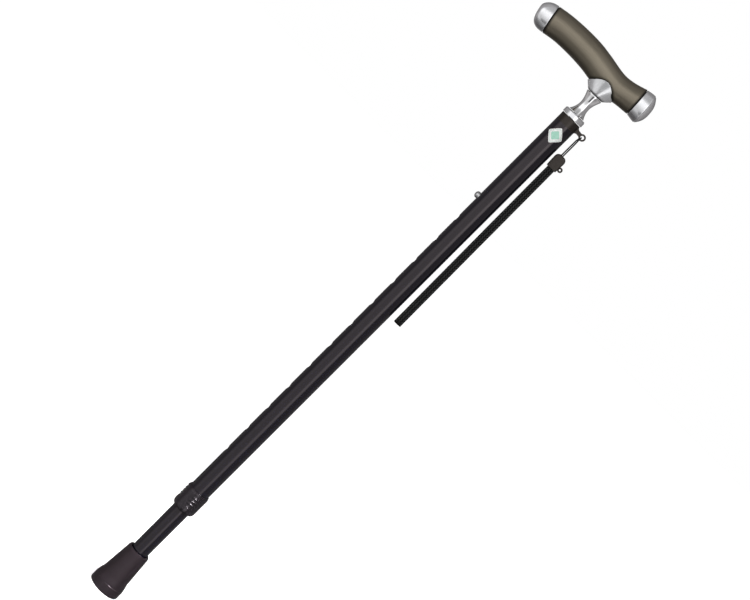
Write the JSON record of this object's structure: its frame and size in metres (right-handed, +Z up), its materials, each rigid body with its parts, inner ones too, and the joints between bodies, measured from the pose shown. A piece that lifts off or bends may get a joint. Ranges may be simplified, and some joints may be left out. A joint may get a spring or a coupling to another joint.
{
  "type": "telescopic walking stick",
  "caption": "Telescopic walking stick with a long-nosed soft-touch handle, snap-button height setting, lock ring, wrist strap on a swivel ring and a flared rubber foot.",
  "frame": {"origin": "middle of the flat tread of the rubber foot, with the stick pushed together and standing upright", "axes": "+Z up the shaft towards the handle, -X towards the long nose of the handle, -Y towards the label"},
  "size_m": [0.1247, 0.0296, 0.6207],
  "materials": {
    "rubber": "matte",
    "steel": "satin",
    "black_tube": "gloss black anodised",
    "core_plastic": "matte",
    "black_plastic": "semi-gloss",
    "white_label": "semi-gloss",
    "cord": "braided",
    "clip_plastic": "matte",
    "satin_metal": "satin",
    "bright_metal": "polished",
    "brass": "plain",
    "soft_touch_skin": "soft matte"
  },
  "bodies": {
    "upper_stick": {"outer_tube": "black_tube", "label": "white_label", "shaft_plug": "core_plastic", "flange_ring": "satin_metal", "neck_stem": "bright_metal", "saddle_collar": "satin_metal", "handle_bolt": "steel", "bolt_washer": "steel", "core_insert": "brass", "handle_core": "core_plastic", "grip_cover": "soft_touch_skin", "front_end_cap": "satin_metal", "rear_end_cap": "satin_metal"},
    "wedge": {"clamp_wedge": "core_plastic"},
    "lock_nut": {"lock_ring": "black_plastic"},
    "lower_leg": {"inner_tube": "black_tube", "guide_plug": "core_plastic", "button_spring": "steel", "rubber_tip": "rubber", "tip_washer": "steel"},
    "button": {"snap_button": "steel"},
    "strap_carrier": {"strap_ring": "black_plastic"},
    "strap": {"strap_string": "cord", "string_knot": "cord", "strap_clip": "clip_plastic", "wrist_strap": "cord"}
  },
  "joints": [
    {"name": "leg_slide", "type": "slide", "parent": "upper_stick", "child": "lower_leg", "axis": [0, 0, -1], "range_m": [0, 0.3]},
    {"name": "wedge_shift", "type": "slide", "parent": "upper_stick", "child": "wedge", "axis": [0, 0, -1], "range_m": [0, 0.0015]},
    {"name": "lock_turn", "type": "hinge", "parent": "wedge", "child": "lock_nut", "pos_m": [0, 0, 0.1], "axis": [0, 0, -1], "range_deg": [0, 360]},
    {"name": "button_press", "type": "slide", "parent": "lower_leg", "child": "button", "axis": [1, 0, 0], "range_m": [0, 0.005], "stiffness_N_per_m": 1500, "springref_m": -0.002, "deforming": ["button_spring"]},
    {"name": "strap_turn", "type": "hinge", "parent": "upper_stick", "child": "strap_carrier", "pos_m": [0, 0, 0.5565], "axis": [0, 0, 1], "continuous": true},
    {"name": "strap_swing", "type": "hinge", "parent": "strap_carrier", "child": "strap", "pos_m": [0.017, 0, 0.5553], "axis": [0, -1, 0], "range_deg": [0, 100]}
  ],
  "couplings": [
    {"joint": "wedge_shift", "follows": "lock_turn", "m_per_rad": 0.00023873}
  ]
}
